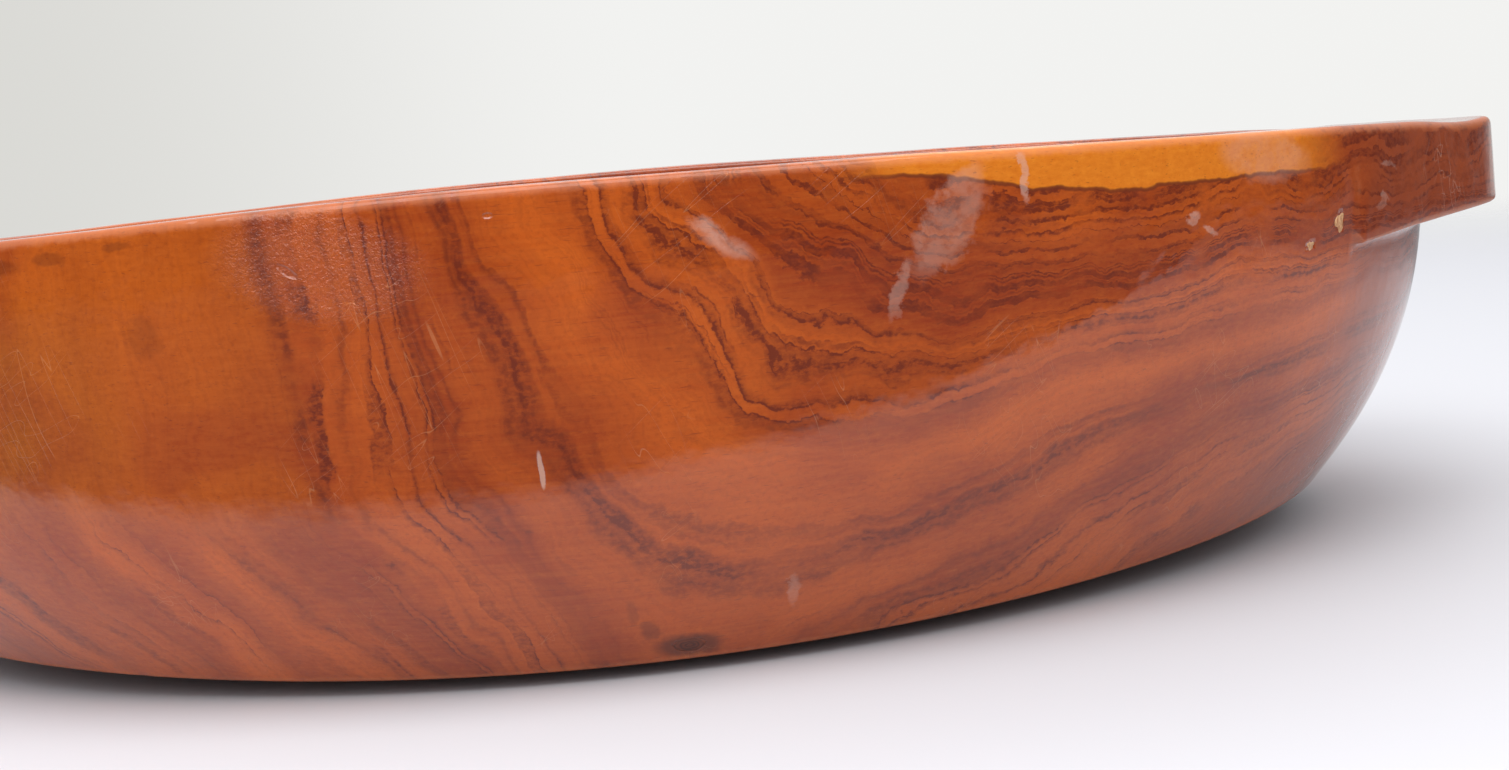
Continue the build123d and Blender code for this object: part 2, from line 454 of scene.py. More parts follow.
    step = {name: step_of(name) for name in STRETCHES}
    path = {"rest": [rest_out * step["rest"], step["rest"] * 0.0]}
    slope_end = toward(edge, [rest_out, cosine * 0.0], cosine * 0.0 + 1.8)
    path["underside"] = run([rest_out, cosine * 0.0], slope_end, step["underside"])
    path["base edge"] = bend(slope_end, edge, wall_start, step["base edge"])
    wall_height = wall_start[1] + (wall_end_height - wall_start[1]) * step["wall"]
    path["wall"] = [wall_out(wall_height), wall_height]
    path["handle crook"] = bend(crook_start, crook, crook_end, step["handle crook"])
    path["handle under"] = run(crook_end, foot_start, step["handle under"])
    path["handle foot"] = bend(foot_start, foot, foot_end, step["handle foot"])
    face_height = foot_end_height + (face_end_height - foot_end_height) * step["face"]
    path["face"] = [handle_out(face_height), face_height]
    path["outer round"] = bend(face_end, outer, rim_start, step["outer round"])
    rim_out_now = rim_start[0] + (rim_end[0] - rim_start[0]) * step["rim"]
    path["rim"] = [rim_out_now, rim_at(rim_out_now)]
    path["inner round"] = bend(rim_end, inner, hollow_start, step["inner round"])

    path["hollow"] = hollow_path(size, step["hollow"], hollow_rim, hollow_start)

    out = path["rest"][0]
    height = path["rest"][1]
    for name, (first, last) in STRETCHES.items():
        if first:
            past = row_number.math("GREATER_THAN", first + 0.5)
            out = out + (path[name][0] - out) * past
            height = height + (path[name][1] - height) * past
    place = join(tree, out * cosine * MM, out * sine * MM, height * MM)

    shaped = tree.nodes.new("GeometryNodeSetPosition")
    tree.links.new(grid.outputs["Mesh"], shaped.inputs["Geometry"])
    feed(tree, shaped.inputs["Position"], place)

    marks = surface_marks(row_number, own_turn, root_turn, on_handle)
    geometry = store_values(tree, shaped.outputs["Geometry"], marks)
    weld = tree.nodes.new("GeometryNodeMergeByDistance")
    weld.inputs["Distance"].default_value = 0.00001
    tree.links.new(geometry, weld.inputs["Geometry"])
    carved = carve_by_hand(tree, weld.outputs["Geometry"], size["Carving depth"])

    smooth = tree.nodes.new("GeometryNodeSetShadeSmooth")
    tree.links.new(carved, smooth.inputs["Geometry"])
    real = tree.nodes.new("GeometryNodeRealizeInstances")
    tree.links.new(smooth.outputs["Geometry"], real.inputs["Geometry"])
    finish = tree.nodes.new("GeometryNodeSetMaterial")
    tree.links.new(real.outputs["Geometry"], finish.inputs["Geometry"])
    tree.links.new(inlet.outputs["Wood"], finish.inputs["Material"])
    outlet = tree.nodes.new("NodeGroupOutput")
    tree.links.new(finish.outputs["Geometry"], outlet.inputs["Geometry"])
    return tree


# %% Run the tree and take its result as a plain mesh
def piece_from_mesh(name, mesh):
    piece = bpy.data.objects.new(name, mesh)
    bpy.context.scene.collection.objects.link(piece)
    return piece


def settled_mesh(piece, name):
    """The piece's mesh with its modifiers carried out."""
    graph = bpy.context.evaluated_depsgraph_get()
    mesh = bpy.data.meshes.new_from_object(piece.evaluated_get(graph))
    mesh.name = name
    return mesh


wood = bpy.data.materials.new("streaked_wood_under_clear_coat")
seed = piece_from_mesh("block_seed", bpy.data.meshes.new("block_seed"))
shaper = seed.modifiers.new("shape", "NODES")
shaper.node_group = block_tree()
for item in shaper.node_group.interface.items_tree:
    if item.in_out == "INPUT" and item.name in WALL_SIZES:
        shaper[item.identifier] = WALL_SIZES[item.name]
    elif item.in_out == "INPUT" and item.name == "Wood":
        shaper[item.identifier] = wood
block_mesh = settled_mesh(seed, "bowl_block")
bpy.data.objects.remove(seed)
block = piece_from_mesh("bowl_block", block_mesh)
lowest = [round(min(v.co[axis] for v in block_mesh.vertices) * 1000, 2) for axis in range(3)]
highest = [round(max(v.co[axis] for v in block_mesh.vertices) * 1000, 2) for axis in range(3)]
print("block:", len(block_mesh.polygons), "faces, from", lowest, "to", highest, "mm")

# %% [markdown]
# **Knot and fills.** A branch once left the trunk where the base edge now runs, and its end shows as
# a small dark oval. Beside one handle two small pale spots are filled. Each of these is a plug with
# the block's own surface, so it is cut from the block itself with an exact boolean: the plug keeps
# what lies inside a peg, and the block keeps the rest, so that both meet face to face.

# %% Cut the plugs out of the block
def wall_half_width(along, height):
    """The distance from the long centre line out to the wall, by the shape tree's own rule."""
    flare = max(0.0, 1 - height / WALL_SIZES["Upright above"]) ** WALL_SIZES["Flare power"]
    share = 1 - (1 - WALL_SIZES["Floor share"]) * flare
    rim_fullness, floor_fullness = WALL_SIZES["Rim fullness"], WALL_SIZES["Floor fullness"]
    fullness = rim_fullness + (floor_fullness - rim_fullness) * flare
    left_over = 1 - (along / (WALL_SIZES["Half length"] * share)) ** fullness
    return WALL_SIZES["Half width"] * share * left_over ** (1 / fullness)


def peg(name, along, height, half_long, half_high, depth, wobble=0.0, sides=40):
    """A short closed peg through the front wall, with a slightly uneven oval outline."""
    here = Vector((along, -wall_half_width(along, height), height))
    beside = Vector((along + 1, -wall_half_width(along + 1, height), height)) - here
    above = Vector((along, -wall_half_width(along, height + 1), height + 1)) - here
    outward = beside.cross(above).normalized()
    beside.normalize()
    above = outward.cross(beside)
    points = []
    for reach in (-depth, 3.0):
        for side in range(sides):
            angle = 2 * math.pi * side / sides
            swell = 1 + wobble * (math.sin(3 * angle + along) + 0.5 * math.sin(5 * angle + height))
            point = here + outward * reach
            point = point + beside * (half_long * swell * math.cos(angle))
            points.append((point + above * (half_high * swell * math.sin(angle))) * MM)
    faces = [tuple(reversed(range(sides))), tuple(range(sides, 2 * sides))]
    for side in range(sides):
        after = (side + 1) % sides
        faces.append((side, after, after + sides, side + sides))
    mesh = bpy.data.meshes.new(name)
    mesh.from_pydata(points, [], faces)
    return piece_from_mesh(name, mesh)


def carve(piece, cutter, operation, name):
    """The piece's mesh after an exact boolean with a cutter."""
    cut = piece.modifiers.new("cut", "BOOLEAN")
    cut.operation = operation
    cut.solver = "EXACT"
    cut.object = cutter
    mesh = settled_mesh(piece, name)
    piece.modifiers.remove(cut)
    return mesh


plug_pegs = {
    "branch_knot": [peg("knot_peg", 12.0, 7.8, 4.2, 2.1, 11.0, wobble=0.05)],
    "pale_fills": [
        peg("fill_peg_large", 200.0, 98.0, 2.2, 2.4, 4.5, wobble=0.2),
        peg("fill_peg_small", 188.5, 93.0, 1.4, 1.1, 4.5, wobble=0.2),
    ],
}
plugs = {}
for name, cutters in plug_pegs.items():
    shell = bpy.data.meshes.new(name)
    parts = []
    for cutter in cutters:
        parts.append(carve(block, cutter, "INTERSECT", name))
    for cutter in cutters:
        block.data = carve(block, cutter, "DIFFERENCE", "bowl_block")
        bpy.data.objects.remove(cutter)
    builder = bmesh.new()
    for part in parts:
        builder.from_mesh(part)
    builder.to_mesh(shell)
    builder.free()
    plugs[name] = piece_from_mesh(name, shell)
    print(name, "has", len(shell.polygons), "faces")
print("block now has", len(block.data.polygons), "faces")

# %% [markdown]
# **The wood.** Growth rings are surfaces inside the block, and the carved surface cuts through them.
# On the front of this block they show as nested bows: steep on the left, rounded at the bottom, and
# flat on the right. So the grain is built as one ring field in space, a sum that has the same value
# all along one ring. Every surface of the bowl then cuts the same rings, and streaks run on over the
# rim and into the hollow. Knots of noise bend the field, because no ring is smooth. One noise along
# the ring field gives each ring its own tone, and slower clouds let the streaks fade in and out.
# It could be painted on a flat map, but that would stretch at the ends and break at the rim.

# %% Colours, as a painter would name them
def colour(red, green, blue):
    """A screen colour as Blender's linear light."""
    parts = []
    for value in (red, green, blue):
        share = value / 255
        parts.append(share / 12.92 if share <= 0.04045 else ((share + 0.055) / 1.055) ** 2.4)
    return (*parts, 1.0)


def blend(tree, amount, first, second):
    """Mix two colours, each a field or a plain colour."""
    node = tree.nodes.new("ShaderNodeMix")
    node.data_type = "RGBA"
    feed(tree, node.inputs["Factor"], amount)
    feed(tree, node.inputs[6], first)
    feed(tree, node.inputs[7], second)
    return Field(tree, node.outputs[2])


def new_group(name, inputs, outputs):
    """A shader group with named inputs and outputs, and fields for its inputs."""
    kinds = {"vector": "NodeSocketVector", "colour": "NodeSocketColor", "value": "NodeSocketFloat"}
    group = bpy.data.node_groups.new(name, "ShaderNodeTree")
    for label, (kind, default) in inputs.items():
        socket = group.interface.new_socket(label, in_out="INPUT", socket_type=kinds[kind])
        if default is not None:
            socket.default_value = default
    for label, kind in outputs.items():
        group.interface.new_socket(label, in_out="OUTPUT", socket_type=kinds[kind])
    inlet = group.nodes.new("NodeGroupInput")
    outlet = group.nodes.new("NodeGroupOutput")
    return group, {label: Field(group, inlet.outputs[label]) for label in inputs}, outlet


def spot_mask(place, centre, reach, tilt=0.0, soft=0.5):
    """1 inside an oval spot on the front wall and 0 outside it, with a soft border.

    centre and reach are millimetres along X, Y and Z, and tilt turns the oval in degrees.
    """
    x, y, z = place
    lean = math.radians(tilt)
    along = (x - centre[0]) * math.cos(lean) + (z - centre[2]) * math.sin(lean)
    upward = (z - centre[2]) * math.cos(lean) - (x - centre[0]) * math.sin(lean)
    away = (along / reach[0]) ** 2.0 + (upward / reach[2]) ** 2.0 + ((y - centre[1]) / reach[1]) ** 2.0
    return ramp(away, 1.0 + soft, 1.0 - soft)


# %% The ring field and its streaks
def ring_field(group, place, x, y, z):
    """A value that is the same all along one growth ring, and two noises that the grain shares."""
    bulge = noise(group, place, 0.018, 1.0)
    swirl = noise(group, place, 0.045, 2.0)
    ripple = noise(group, join(group, x * 0.11, y * 0.11, z * 0.05), 1.0, 3.0, 0.55)
    flutter = noise(group, join(group, x * 0.5, y * 0.3, z * 0.16), 1.0, 2.0, 0.5)

    # bows: steep to the left of the slanting axis, flat to the right of it
    bend_up = ramp(z, 45.0, 108.0)
    lifted = z + larger(x - 58.0, 0.0) * bend_up * 0.34
    upright = larger(z - 60.0, 0.0) * ramp(x, -25.0, -65.0) * 0.4
    sweep = smaller(z - 50.0, 0.0) * ramp(x, 0.0, -50.0) * 0.45
    shifted = x - upright + sweep
    lifted = lifted - larger(x - 60.0, 0.0) * ramp(z, 72.0, 30.0) * 0.17
    axis = math.radians(65.5)
    along_axis = (shifted - 35.0) * math.cos(axis) + (lifted - 69.0) * math.sin(axis)
    off_axis = (lifted - 69.0) * math.cos(axis) - (shifted - 35.0) * math.sin(axis)
    depth_in = (y + 150.0) * 0.45
    ring = root_of(off_axis * off_axis * 0.95 + depth_in * depth_in + 600.0) - along_axis
    fibre = noise(group, join(group, x * 0.5, y * 0.9, z * 0.9), 1.0, 2.0, 0.6)
    ring = ring + (bulge - 0.5) * 26.0 + (swirl - 0.5) * 17.0 + (ripple - 0.5) * 7.0
    ring = ring + (flutter - 0.5) * 2.4 + (fibre - 0.5) * 2.2
    return ring, ripple, fibre


def sapwood(x, y, z, ripple):
    """Masks for the pale strip along the rim and for the thin wavy line that it ends in."""
    sap_edge = 113.5 + (ripple - 0.5) * 4.0 + ramp(x, 130.0, 60.0) * 9.0
    strip = ramp(z, sap_edge - 0.6, sap_edge + 0.6) * ramp(x, 52.0, 74.0) * ramp(x, 206.0, 180.0)
    strip = strip * ramp(y, -60.0, -90.0)
    line = ramp(size_of(z - sap_edge), 0.8, 0.2) * ramp(x, 52.0, 74.0) * ramp(x, 206.0, 180.0)
    return strip, line * ramp(y, -60.0, -90.0)


def grain_group():
    """Grain for any piece of this tree: colours, and masks for the finish to work with."""
    group, inlet, outlet = new_group(
        "carved_grain",
        {"Place": ("vector", None), "Streak strength": ("value", 1.0)},
        {"Colour": "colour", "Streaks": "value", "Pores": "value", "Ribbons": "value"},
    )
    place = inlet["Place"]
    x, y, z = split(place)
    ring, ripple, fibre = ring_field(group, place, x, y, z)

    bands = noise(group, ring, 0.034, 1.0, 0.5)
    coarse = noise(group, ring, 0.062, 2.0, 0.5)
    close = noise(group, ring, 0.15, 2.0, 0.5)
    hair = noise(group, ring, 0.5, 2.0, 0.6)
    patches = noise(group, place, 0.02, 2.0)
    fading = noise(group, join(group, x * 0.022, y * 0.04, z * 0.04), 1.0, 2.0)
    breaks = noise(group, join(group, x * 0.07, y * 0.09, z * 0.09), 1.0, 1.0)

    # soft dark streaks with one sharp side, and thin close lines high on the right
    upper_right = ramp(z, 68.0, 96.0) * ramp(x, -20.0, 40.0)
    soft_side = ramp(coarse, 0.47, 0.60) * ramp(coarse, 0.64, 0.60)
    sharp = ramp(size_of(coarse - 0.60), 0.022, 0.004)
    thin = ramp(size_of(close - 0.52), 0.05, 0.01)
    vivid = ramp(fading, 0.40, 0.60)
    gaps = ramp(breaks, 0.34, 0.56)
    past_line = x + 79.0 - (120.0 - z) * 0.1 + (ripple - 0.5) * 7.0
    left_calm = 0.15 + 0.85 * ramp(past_line, -5.0, 3.0)
    heart_line = ramp(size_of(past_line + 1.0), 3.6, 0.4) * ramp(z, 44.0, 58.0) * ramp(y, -60.0, -100.0)
    low_left = ramp(z, 62.0, 40.0) * 0.85
    calm = larger(left_calm, low_left)
    streaks = soft_side * (0.15 + 0.4 * vivid) + sharp * (0.05 + 0.5 * gaps) * (0.2 + 0.7 * vivid)
    medium = noise(group, ring, 0.105, 2.0, 0.55)
    broken = ramp(noise(group, join(group, x * 0.045, y * 0.06, z * 0.06), 1.0, 2.0), 0.42, 0.6)
    brushed = ramp(medium, 0.54, 0.70) * broken * (0.45 + 0.55 * ramp(fibre, 0.35, 0.6))
    streaks = larger(streaks, brushed * 0.5)
    streaks = larger(streaks, ramp(past_line, -2.0, 5.0) * ramp(past_line, 26.0, 6.0) * brushed * 0.9)
    streaks = larger(streaks, heart_line * (0.25 + 0.6 * gaps))
    streaks = larger(streaks * calm, thin * upper_right * (0.15 + 0.6 * gaps))
    brush = noise(group, join(group, x * 0.45, y * 0.8, z * 0.7), 1.0, 4.0, 0.65)
    fuzz = 0.45 + 1.0 * ramp(brush, 0.32, 0.66)
    streaks = smaller(streaks * fuzz, 0.9) * inlet["Streak strength"]

    # fine figure: ribbons along the plank, and short open pores
    ribbons = noise(group, join(group, x * 0.035, y * 0.9, z * 0.9), 1.0, 3.0, 0.6)
    pores = noise(group, join(group, x * 0.22, y * 2.6, z * 2.6), 1.0, 1.0, 0.5)
    pore_mask = ramp(pores, 0.66, 0.76)

    tone = bands * 0.8 + patches * 0.5 - 0.15
    base = blend(group, ramp(tone, 0.28, 0.74), colour(148, 57, 21), colour(196, 90, 27))
    golden = ramp(past_line, 6.0, -8.0) * ramp(z, 44.0, 62.0) * (0.35 + 0.65 * patches)
    base = blend(group, golden, base, colour(184, 88, 20))
    olive = ramp(x, -104.0, -158.0) * ramp(z, 50.0, 70.0) * ramp(z, 118.0, 96.0) * patches
    base = blend(group, olive * 0.9, base, colour(150, 88, 14))
    speckle = noise(group, place, 0.75, 3.0, 0.6)
    base = blend(group, ramp(speckle, 0.45, 0.75) * 0.28, base, colour(126, 44, 20))
    base = blend(group, ramp(brush, 0.5, 0.8) * 0.22, base, colour(214, 112, 36))
    red_zone = noise(group, place, 0.033, 1.0)
    base = blend(group, ramp(red_zone, 0.52, 0.72) * 0.45, base, colour(140, 47, 22))
    hair_dark = ramp(hair, 0.42, 0.66) * 0.12
    base = blend(group, hair_dark, base, colour(112, 40, 22))
    base = blend(group, (ribbons - 0.35) * 0.5, base, colour(212, 114, 44))

    sap, sap_line = sapwood(x, y, z, ripple)
    sap_figure = ribbons * 0.7 + (brush - 0.35) * 1.2
    sap_colour = blend(group, sap_figure, colour(208, 106, 24), colour(232, 138, 40))
    base = blend(group, sap, base, sap_colour)
    streaks = streaks * (1.0 - sap)
    handle_side = ramp(size_of(x), 196.0, 216.0)
    base = blend(group, handle_side * 0.7, base, colour(142, 64, 36))
    final = blend(group, streaks, base, colour(106, 40, 24))
    final = blend(group, sap_line * 0.8, final, colour(104, 44, 28))
    final = blend(group, pore_mask * 0.35, final, colour(98, 40, 28))
    feed(group, outlet.inputs["Colour"], final)
    feed(group, outlet.inputs["Streaks"], streaks)
    feed(group, outlet.inputs["Pores"], pore_mask)
    feed(group, outlet.inputs["Ribbons"], ribbons)
    return group


grain = grain_group()
print("grain group has", len(grain.nodes), "nodes")


# %% The clear coat and the wood material
def use_group(tree, group, **values):
    node = tree.nodes.new("ShaderNodeGroup")
    node.node_tree = group
    for label, value in values.items():
        feed(tree, node.inputs[label.replace("_", " ")], value)
    return node


def read_attribute(tree, name):
    node = tree.nodes.new("ShaderNodeAttribute")
    node.attribute_name = name
    return Field(tree, node.outputs["Fac"])


def place_in_mm(tree):
    """Object coordinates as a vector in millimetres, and its three parts."""
    texture = tree.nodes.new("ShaderNodeTexCoord")
    scale = tree.nodes.new("ShaderNodeMapping")
    scale.inputs["Scale"].default_value = (1000.0, 1000.0, 1000.0)
    tree.links.new(texture.outputs["Object"], scale.inputs["Vector"])
    place = Field(tree, scale.outputs["Vector"])
    return place, split(place)


def fresh_material(material):
    material.use_nodes = True
    tree = material.node_tree
    for node in list(tree.nodes):
        if node.type != "OUTPUT_MATERIAL":
            tree.nodes.remove(node)
    shader = tree.nodes.new("ShaderNodeBsdfPrincipled")
    outlet = next(node for node in tree.nodes if node.type == "OUTPUT_MATERIAL")
    tree.links.new(shader.outputs[0], outlet.inputs["Surface"])
    return tree, shader


def bump(tree, height, strength, distance):
    node = tree.nodes.new("ShaderNodeBump")
    node.inputs["Strength"].default_value = strength
    node.inputs["Distance"].default_value = distance
    feed(tree, node.inputs["Height"], height)
    return Field(tree, node.outputs[0])


# cloudy places in the coat, whose pale colour is partly painted reflection haze: centre and reach in
# millimetres, tilt in degrees, strength
BLUSH_AND_SHEEN_SPOTS = (
    ((27.0, -157.0, 111.0), (11.5, 8.0, 3.6), -32.0, 0.55),
    ((82.0, -156.0, 110.0), (15.0, 8.0, 6.0), 55.0, 0.26),
    ((69.0, -156.0, 95.5), (8.5, 8.0, 2.4), 74.0, 0.28),
    ((102.5, -153.0, 119.0), (1.4, 8.0, 5.5), 0.0, 0.45),
    ((149.0, -135.0, 105.0), (2.4, 8.0, 2.2), 0.0, 0.45),
    ((154.5, -132.0, 101.0), (2.4, 8.0, 1.2), -35.0, 0.40),
    ((170.0, -124.0, 119.0), (20.0, 12.0, 7.0), -12.0, 0.22),
    ((40.0, -150.0, 18.0), (2.4, 8.0, 6.0), 0.0, 0.25),
    ((216.0, -99.0, 103.0), (3.2, 8.0, 1.4), 25.0, 0.26),
    ((220.0, -97.0, 112.0), (2.8, 8.0, 1.2), 10.0, 0.24),
)


# dark stains where the wood round the knot is resinous, and under the rim
SMUDGES = (
    ((12.0, -140.0, 8.0), (8.5, 8.0, 3.4), 0.0, 0.75),
    ((2.5, -141.0, 13.5), (2.6, 8.0, 3.0), 30.0, 0.45),
    ((-1.5, -143.0, 19.5), (1.6, 8.0, 4.0), 10.0, 0.30),
    ((-147.0, -138.0, 117.5), (9.0, 8.0, 2.4), 5.0, 0.40),
    ((-131.0, -143.0, 119.5), (4.0, 8.0, 1.6), 0.0, 0.35),
    ((-113.0, -149.0, 120.5), (3.5, 8.0, 1.2), 0.0, 0.35),
    ((-110.0, -151.0, 99.0), (4.0, 8.0, 5.0), 0.0, 0.22),
)


def scratch_mask(tree, place, x, y, z):
    """Hairline scratches in two directions, only here and there."""
    scratch_field = noise(tree, join(tree, x * 0.30 + z * 0.09, y * 0.2, z * 0.012), 1.0, 0.0)
    scratch_where = ramp(noise(tree, place, 0.03, 1.0), 0.54, 0.64)
    scratches = ramp(size_of(scratch_field - 0.5), 0.006, 0.001) * scratch_where
    scratch_more = noise(tree, join(tree, x * 0.16 - z * 0.20, y * 0.2, z * 0.012 + x * 0.012), 1.0, 0.0)
    return larger(scratches, ramp(size_of(scratch_more - 0.55), 0.005, 0.001) * scratch_where)


def finish_wood():
    """The grain under a glossy coat, with its cloudy spots and their painted pale sheen, stains, rubbed
    edges with painted glints, painted shade on the underside, dent and scratches.
    """
    tree, shader = fresh_material(wood)
    place, (x, y, z) = place_in_mm(tree)
    wear_and_glint = read_attribute(tree, "edge_wear_and_glint")
    inside = read_attribute(tree, "inside")
    shaded_underside = read_attribute(tree, "shaded_underside")
    figure = use_group(tree, grain, Place=place)
    wood_colour = Field(tree, figure.outputs["Colour"])
    pores = Field(tree, figure.outputs["Pores"])
    ribbons = Field(tree, figure.outputs["Ribbons"])
    streaks = Field(tree, figure.outputs["Streaks"])

    mottle = noise(tree, place, 0.22, 4.0, 0.65)
    ragged = (mottle - 0.5) * 2.0 + (noise(tree, place, 0.08, 2.0) - 0.5) * 2.0
    blush_and_sheen = mottle * 0.0
    for centre, reach, tilt, strength in BLUSH_AND_SHEEN_SPOTS:
        spot = spot_mask((x + ragged * 3.0, y, z - ragged * 4.0), centre, reach, tilt, 0.45)
        blush_and_sheen = larger(blush_and_sheen, spot * strength)
    blush_and_sheen = blush_and_sheen * (0.55 + 0.45 * ramp(mottle, 0.35, 0.6))
    # pale spot colour: partly a real cloudy coat, partly painted reflection haze
    surface = blend(tree, blush_and_sheen, wood_colour, colour(214, 176, 160))

    smudge = mottle * 0.0
    for centre, reach, tilt, strength in SMUDGES:
        spot = spot_mask((x + ragged * 2.0, y, z - ragged * 1.5), centre, reach, tilt, 0.6)
        smudge = larger(smudge, spot * strength)
    surface = blend(tree, smudge, surface, colour(78, 32, 22))

    # edges show paler wood in broken patches, partly real rubbing and partly a painted highlight where
    # they catch the light, and the underside is painted darker as painted shade
    worn_and_glinting = wear_and_glint * ramp(mottle + wear_and_glint * 0.35, 0.55, 0.85)
    surface = blend(tree, worn_and_glinting * 0.38, surface, colour(206, 128, 84))
    # painted shade: the underside is darkened towards dark brown
    surface = blend(tree, shaded_underside * 0.7, surface, colour(66, 30, 17))

    # the lens-shaped dent and hairline scratches
    dent = spot_mask((x + ragged * 0.5, y, z), (-20.0, -158.0, 60.0), (0.75, 6.0, 5.0), 4.0, 0.3)
    scratches = scratch_mask(tree, place, x, y, z)
    surface = blend(tree, dent * 0.55, surface, colour(222, 186, 168))
    surface = blend(tree, scratches * 0.2, surface, colour(222, 160, 110))
    feed(tree, shader.inputs["Base Color"], surface)

    # rough speckled area where the coat pulled tiny craters
    rough_area = spot_mask((x, y, z), (-64.0, -158.0, 111.0), (26.0, 10.0, 13.0), -10.0, 0.6)
    craters = noise(tree, place, 0.95, 3.0, 0.7)
    gouge = spot_mask((x, y, z), (-73.5, -159.0, 112.0), (2.6, 6.0, 0.9), -38.0, 0.6)
    pit = spot_mask((x, y, z), (-26.0, -161.0, 121.0), (1.2, 6.0, 0.7), 0.0, 0.6)

    rough = 0.36 + blush_and_sheen * 0.25 + (ribbons - 0.5) * 0.1 + worn_and_glinting * 0.15 + inside * 0.04
    feed(tree, shader.inputs["Roughness"], rough)
    shader.inputs["IOR"].default_value = 1.5
    shader.inputs["Specular IOR Level"].default_value = 0.05
    shader.inputs["Coat IOR"].default_value = 1.58
    shader.inputs["Coat Roughness"].default_value = 0.035
    coat = 0.95 - blush_and_sheen * 0.7 - worn_and_glinting * 0.5
    feed(tree, shader.inputs["Coat Weight"], coat)

    skin = noise(tree, place, 0.12, 2.0, 0.5)
    coat_height = skin * 0.35 + craters * rough_area * 1.5 - scratches * 0.04
    coat_height = coat_height - dent * 0.5 - gouge * 1.2 - pit * 0.9
    feed(tree, shader.inputs["Coat Normal"], bump(tree, coat_height, 0.6, 0.001))
    wood_height = coat_height + (ribbons * 0.5 - pores * 0.6 - streaks * 0.2) * 0.07
    feed(tree, shader.inputs["Normal"], bump(tree, wood_height, 0.6, 0.001))


finish_wood()
print("wood material has", len(wood.node_tree.nodes), "nodes")

# %% [markdown]
# **Knot and filler finishes.** The knot is the same tree seen end on: tight dark rings round a
# pith, with fine drying cracks, under the same coat. The filler is a dull putty with short strokes
# left by the knife that pressed it in.

# %% Knot material
def finish_knot():
    material = bpy.data.materials.new("dark_branch_knot")
    tree, shader = fresh_material(material)
    place, (x, y, z) = place_in_mm(tree)
    figure = use_group(tree, grain, Place=place)
    wobble = noise(tree, place, 0.5, 2.0)
    away = root_of(((x - 12.0) / 1.9) ** 2.0 + (z - 7.8) ** 2.0) + (wobble - 0.5) * 1.2
    rings = (away * 9.0).math("SINE") * 0.5 + 0.5
    dark = blend(tree, rings, colour(66, 24, 12), colour(104, 44, 20))
    rim = ramp(away, 1.2, 2.3)
    dark = blend(tree, rim * 0.2, dark, Field(tree, figure.outputs["Colour"]))
    feed(tree, shader.inputs["Base Color"], dark)
    feed(tree, shader.inputs["Roughness"], 0.42 + wobble * 0.15)
    shader.inputs["Coat Roughness"].default_value = 0.08
    shader.inputs["Coat Weight"].default_value = 0.3
    feed(tree, shader.inputs["Normal"], bump(tree, rings * -0.1 + wobble * 0.2, 0.5, 0.001))
    return material


def finish_filler():
    material = bpy.data.materials.new("pale_filler")
    tree, shader = fresh_material(material)
    x, y, z = place_in_mm(tree)[1]
    strokes = noise(tree, join(tree, x * 2.2, y * 2.2, z * 0.45), 1.0, 3.0, 0.7)
    pale = blend(tree, ramp(strokes, 0.36, 0.62), colour(168, 100, 52), colour(226, 178, 128))
    feed(tree, shader.inputs["Base Color"], pale)
    feed(tree, shader.inputs["Roughness"], 0.5 + strokes * 0.25)
    shader.inputs["Coat Roughness"].default_value = 0.2
    shader.inputs["Coat Weight"].default_value = 0.35
    feed(tree, shader.inputs["Normal"], bump(tree, strokes, 0.6, 0.0005))
    return material


print("knot and filler finishes ready")
for name, material in (("branch_knot", finish_knot()), ("pale_fills", finish_filler())):
    plugs[name].data.materials.clear()
    plugs[name].data.materials.append(material)

# %% Hang each piece on the root body and hide the CAD part that it stands in for
for piece, node, slot in (
    (block, "bowl", "polished_wood"),
    (plugs["branch_knot"], "base_edge_knot", "knot_wood"),
    (plugs["pale_fills"], "crack_fill", "pale_fill"),
):
    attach(piece, "root")
    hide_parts(node)
    print(piece.name, "replaces", node, "and rides on root")
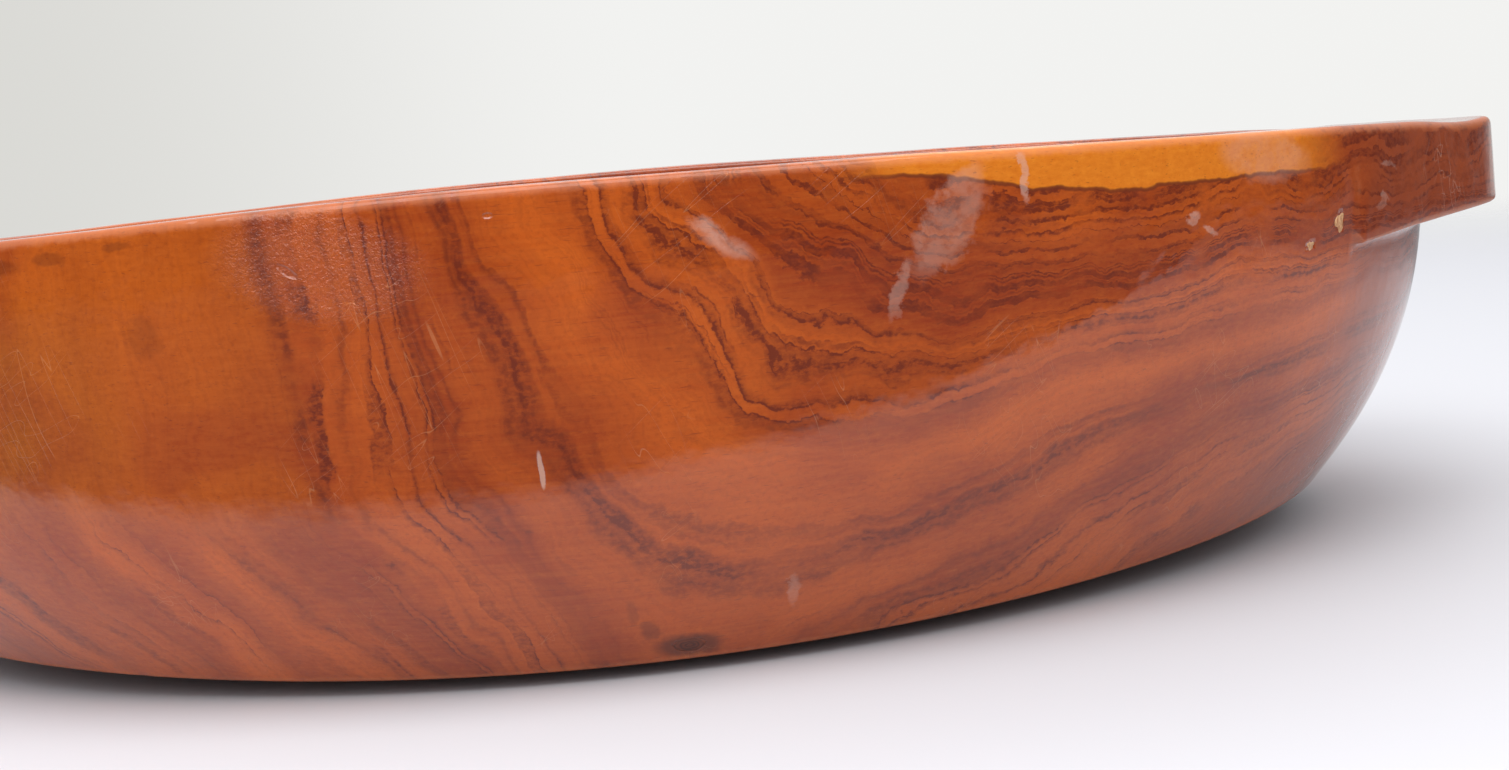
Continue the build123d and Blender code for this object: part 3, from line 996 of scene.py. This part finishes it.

# %% [markdown]
# ** Floor, light and camera.** The bowl stands on a plain white sheet, with a large soft light above
# its front and a weaker one behind it. The sheet fades into the pale surround far behind. A glossy
# coat also mirrors what stands in front of it: the white sheet low down, and the dim room above. So
# the sheet and the surround look dimmer to mirrored rays that leave towards the room. The sheet is
# also painted a little greyer to the right, and the surround seen directly a little darker to the
# left, both as painted shade.

# %% Floor
def make_floor():
    """A wide flat ring, open under the flat rest so that light reaches the rest from below."""
    reach, rings, spokes = 3.0, 24, 96
    hole_long, hole_wide = 0.127, 0.109
    points = []
    for ring in range(rings + 1):
        share = (ring / rings) ** 1.5
        for spoke in range(spokes):
            angle = 2 * math.pi * spoke / spokes
            along = (hole_long + (reach - hole_long) * share) * math.cos(angle)
            across = (hole_wide + (reach - hole_wide) * share) * math.sin(angle)
            points.append((along, across, -0.0002))
    faces = []
    for ring in range(rings):
        first = ring * spokes
        for spoke in range(spokes):
            after = (spoke + 1) % spokes
            faces.append((first + spoke, first + spokes + spoke, first + spokes + after, first + after))
    mesh = bpy.data.meshes.new("white_sheet")
    mesh.from_pydata(points, [], faces)
    floor = piece_from_mesh("white_sheet", mesh)
    material = bpy.data.materials.new("white_paper")
    tree, shader = fresh_material(material)
    x, y, z = place_in_mm(tree)[1]
    outlet = next(node for node in tree.nodes if node.type == "OUTPUT_MATERIAL")
    ray = tree.nodes.new("ShaderNodeLightPath")
    mirrored = Field(tree, ray.outputs["Is Glossy Ray"])
    sheet_end = ramp(y + x * 0.25, -225.0, -258.0)
    distance = root_of(x * x + y * y)
    room = larger(sheet_end, ramp(distance, 480.0, 900.0) * 0.75)
    far = ramp(distance, 900.0, 1900.0)
    # painted shade: the sheet's colour turns greyer towards the right
    shade_towards_right = ramp(x, -250.0, 350.0)
    paper = blend(tree, shade_towards_right, (0.74, 0.75, 0.785, 1.0), (0.58, 0.585, 0.61, 1.0))
    shade = blend(tree, mirrored * room, paper, (0.05, 0.05, 0.055, 1.0))
    feed(tree, shader.inputs["Base Color"], shade)
    shader.inputs["Roughness"].default_value = 0.7
    clear = tree.nodes.new("ShaderNodeBsdfTransparent")
    side = tree.nodes.new("ShaderNodeNewGeometry")
    below = Field(tree, side.outputs["Backfacing"])
    mixer = tree.nodes.new("ShaderNodeMixShader")
    feed(tree, mixer.inputs[0], larger(far, below))
    tree.links.new(shader.outputs[0], mixer.inputs[1])
    tree.links.new(clear.outputs[0], mixer.inputs[2])
    tree.links.new(mixer.outputs[0], outlet.inputs["Surface"])
    floor.data.materials.append(material)


make_floor()
print("floor ready")


# %% Surround and lights
def make_surround():
    world = bpy.data.worlds.new("pale_studio")
    bpy.context.scene.world = world
    world.use_nodes = True
    tree = world.node_tree
    tree.nodes.clear()
    direction = tree.nodes.new("ShaderNodeTexCoord")
    x, y, z = split(Field(tree, direction.outputs["Generated"]))
    ray = tree.nodes.new("ShaderNodeLightPath")
    seen = Field(tree, ray.outputs["Is Camera Ray"])
    mirrored = Field(tree, ray.outputs["Is Glossy Ray"])
    overhead = ramp(z, 0.1, 0.75)
    front_room = (0.04, 0.037, 0.035, 1.0)
    bright_back = (0.80, 0.80, 0.79, 1.0)
    mirrored_level = blend(tree, ramp(y, 0.15, 0.55), front_room, bright_back)
    level = blend(tree, mirrored, (0.28, 0.28, 0.29, 1.0), mirrored_level)
    soft = blend(tree, overhead, level, (1.12, 1.12, 1.15, 1.0))
    # painted shade: the surround seen directly is darker towards the left
    backdrop_with_shade = blend(tree, ramp(x, -0.35, 0.05), (0.70, 0.695, 0.665, 1.0), (0.89, 0.89, 0.875, 1.0))
    lit = blend(tree, seen, soft, backdrop_with_shade)
    background = tree.nodes.new("ShaderNodeBackground")
    feed(tree, background.inputs["Color"], lit)
    outlet = tree.nodes.new("ShaderNodeOutputWorld")
    tree.links.new(background.outputs[0], outlet.inputs[0])


def soft_light(name, place, target, width, depth, power):
    lamp = bpy.data.lights.new(name, "AREA")
    lamp.shape = "RECTANGLE"
    lamp.size = width
    lamp.size_y = depth
    lamp.energy = power
    light = piece_from_mesh(name, lamp)
    light.location = place
    light.rotation_euler = (Vector(target) - Vector(place)).to_track_quat("-Z", "Y").to_euler()
    return light


make_surround()
soft_light("front_softbox", (-0.1, -0.6, 1.4), (0.0, -0.05, 0.0), 1.5, 1.0, 17.0)
soft_light("rear_softbox", (0.3, 0.9, 1.3), (0.0, 0.0, 0.0), 1.2, 0.8, 5.0)
print("surround and two soft lights ready")


# %% Camera
def make_camera():
    yaw, pitch, roll = 0.0806, -0.1355, 0.0845
    forward = Vector((
        math.sin(yaw) * math.cos(pitch), math.cos(yaw) * math.cos(pitch), math.sin(pitch),
    ))
    level = Vector((math.cos(yaw), -math.sin(yaw), 0.0))
    upward = level.cross(forward)
    right = level * math.cos(roll) - upward * math.sin(roll)
    top = level * math.sin(roll) + upward * math.cos(roll)
    lens = bpy.data.cameras.new("camera")
    lens.sensor_width = 36.0
    lens.sensor_fit = "HORIZONTAL"
    lens.lens = 40.58
    lens.clip_start = 0.01
    camera = piece_from_mesh("camera", lens)
    turned = Matrix((right, top, -forward)).transposed().to_4x4()
    camera.matrix_world = Matrix.Translation((0.00006, -0.56125, 0.13026)) @ turned
    bpy.context.scene.camera = camera


make_camera()
print("camera ready")
bpy.context.scene.view_settings.view_transform = "Standard"
bpy.context.scene.view_settings.look = "None"

# %% Update the scene, and the end
bpy.context.view_layer.update()
